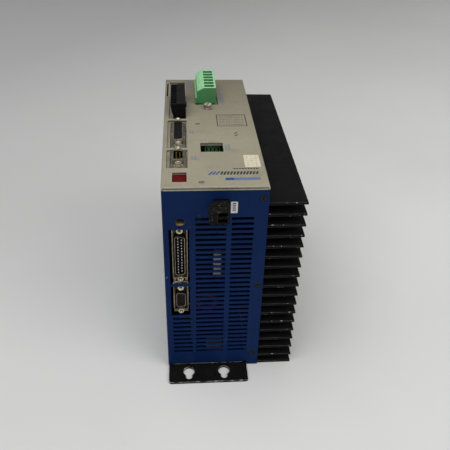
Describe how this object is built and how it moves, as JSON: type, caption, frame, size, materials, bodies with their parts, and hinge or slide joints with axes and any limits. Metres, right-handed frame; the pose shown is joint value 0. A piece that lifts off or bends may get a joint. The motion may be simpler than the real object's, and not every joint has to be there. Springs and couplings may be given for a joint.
{
  "type": "servo drive",
  "caption": "Panel-mounted servo drive: folded blue cover with vent slots, beige front panel, black finned heat sink, keyhole flange, D connectors and pluggable screw terminals.",
  "frame": {"origin": "middle of the drive's footprint on the mounting plane, at the bottom of its bounding box", "axes": "+Z out of the front panel, away from the mounting plane; -Y towards the end with the keyholes, which is the top end when the drive hangs in a cabinet; +X towards the heat sink's fins"},
  "size_m": [0.1104, 0.2606, 0.2027],
  "materials": {
    "sink_black": "black anodised, satin",
    "cover_blue": "dark blue powder coat",
    "panel_beige": "warm grey paint, satin",
    "bare_aluminium": "mill finish",
    "plate_black": "black paint, satin",
    "zinc_yellow": "yellow passivated zinc",
    "tin_plate": "tin plate",
    "screw_steel": "nickel plated",
    "screw_black": "blackened",
    "black_plastic": "moulded, fine texture",
    "green_plastic": "moulded, satin",
    "red_filter": "clear red, glossy",
    "circuit_board": "solder mask",
    "grey_ceramic": "unglazed",
    "copper": "enamelled copper wire",
    "can_sleeve": "shrink sleeve",
    "olive_film": "varnished"
  },
  "bodies": {
    "chassis": {"heat_sink": "sink_black", "chassis_cover": "cover_blue", "cover_screw_near_1": "screw_black", "cover_screw_far_1": "screw_black", "cover_screw_near_2": "screw_black", "cover_screw_far_2": "screw_black", "cover_screw_near_3": "screw_black", "cover_screw_far_3": "screw_black", "mounting_plate": "plate_black", "front_panel": "panel_beige", "connector_shelf": "bare_aluminium", "panel_screw_1": "panel_beige", "panel_screw_2": "panel_beige", "panel_screw_3": "panel_beige", "earth_screw": "screw_steel", "feedback_shell": "tin_plate", "feedback_insulator": "black_plastic", "feedback_jackscrew_1": "tin_plate", "feedback_jackscrew_2": "tin_plate", "encoder_shell": "tin_plate", "encoder_insulator": "black_plastic", "encoder_jackscrew_1": "tin_plate", "encoder_jackscrew_2": "tin_plate", "io_shell": "tin_plate", "io_insulator": "black_plastic", "io_jackscrew_1": "tin_plate", "io_jackscrew_2": "tin_plate", "serial_shell": "tin_plate", "serial_insulator": "black_plastic", "serial_jackscrew_1": "tin_plate", "serial_jackscrew_2": "tin_plate", "connector_bracket": "zinc_yellow", "power_header": "green_plastic", "logic_header": "black_plastic", "brake_header": "black_plastic", "option_header": "green_plastic", "display_filter": "red_filter", "display_module": "black_plastic", "control_board": "circuit_board", "power_board": "circuit_board", "power_module": "black_plastic", "bus_capacitor_1": "can_sleeve", "bus_capacitor_2": "can_sleeve", "bus_capacitor_3": "can_sleeve", "transformer": "olive_film", "choke_coil": "copper", "ballast_resistor": "grey_ceramic", "film_capacitor": "olive_film", "relay": "black_plastic"},
    "power_plug": {"power_plug": "green_plastic"},
    "logic_plug": {"logic_plug": "black_plastic"},
    "brake_plug": {"brake_plug": "black_plastic"},
    "power_clamp_screw_1": {"power_clamp_screw_1": "screw_steel"},
    "power_clamp_screw_2": {"power_clamp_screw_2": "screw_steel"},
    "power_clamp_screw_3": {"power_clamp_screw_3": "screw_steel"},
    "power_clamp_screw_4": {"power_clamp_screw_4": "screw_steel"},
    "power_clamp_screw_5": {"power_clamp_screw_5": "screw_steel"},
    "power_clamp_screw_6": {"power_clamp_screw_6": "screw_steel"},
    "brake_clamp_screw_1": {"brake_clamp_screw_1": "screw_steel"},
    "brake_clamp_screw_2": {"brake_clamp_screw_2": "screw_steel"}
  },
  "joints": [
    {"name": "power_plug_pull", "type": "slide", "parent": "chassis", "child": "power_plug", "axis": [0, 0, 1], "range_m": [0, 0.02]},
    {"name": "logic_plug_pull", "type": "slide", "parent": "chassis", "child": "logic_plug", "axis": [0, 0, 1], "range_m": [0, 0.02]},
    {"name": "brake_plug_pull", "type": "slide", "parent": "chassis", "child": "brake_plug", "axis": [0, -1, 0], "range_m": [0, 0.02]},
    {"name": "power_clamp_turn_1", "type": "hinge", "parent": "power_plug", "child": "power_clamp_screw_1", "pos_m": [-0.0238, 0.05115, 0.1964], "axis": [-1, 0, 0], "range_deg": [0, 1530]},
    {"name": "power_clamp_turn_2", "type": "hinge", "parent": "power_plug", "child": "power_clamp_screw_2", "pos_m": [-0.0238, 0.05877, 0.1964], "axis": [-1, 0, 0], "range_deg": [0, 1530]},
    {"name": "power_clamp_turn_3", "type": "hinge", "parent": "power_plug", "child": "power_clamp_screw_3", "pos_m": [-0.0238, 0.06639, 0.1964], "axis": [-1, 0, 0], "range_deg": [0, 1530]},
    {"name": "power_clamp_turn_4", "type": "hinge", "parent": "power_plug", "child": "power_clamp_screw_4", "pos_m": [-0.0238, 0.07401, 0.1964], "axis": [-1, 0, 0], "range_deg": [0, 1530]},
    {"name": "power_clamp_turn_5", "type": "hinge", "parent": "power_plug", "child": "power_clamp_screw_5", "pos_m": [-0.0238, 0.08163, 0.1964], "axis": [-1, 0, 0], "range_deg": [0, 1530]},
    {"name": "power_clamp_turn_6", "type": "hinge", "parent": "power_plug", "child": "power_clamp_screw_6", "pos_m": [-0.0238, 0.08925, 0.1964], "axis": [-1, 0, 0], "range_deg": [0, 1530]},
    {"name": "brake_clamp_turn_1", "type": "hinge", "parent": "brake_plug", "child": "brake_clamp_screw_1", "pos_m": [-0.0202, -0.1229, 0.16821], "axis": [-1, 0, 0], "range_deg": [0, 1530]},
    {"name": "brake_clamp_turn_2", "type": "hinge", "parent": "brake_plug", "child": "brake_clamp_screw_2", "pos_m": [-0.0202, -0.1229, 0.17329], "axis": [-1, 0, 0], "range_deg": [0, 1530]}
  ]
}
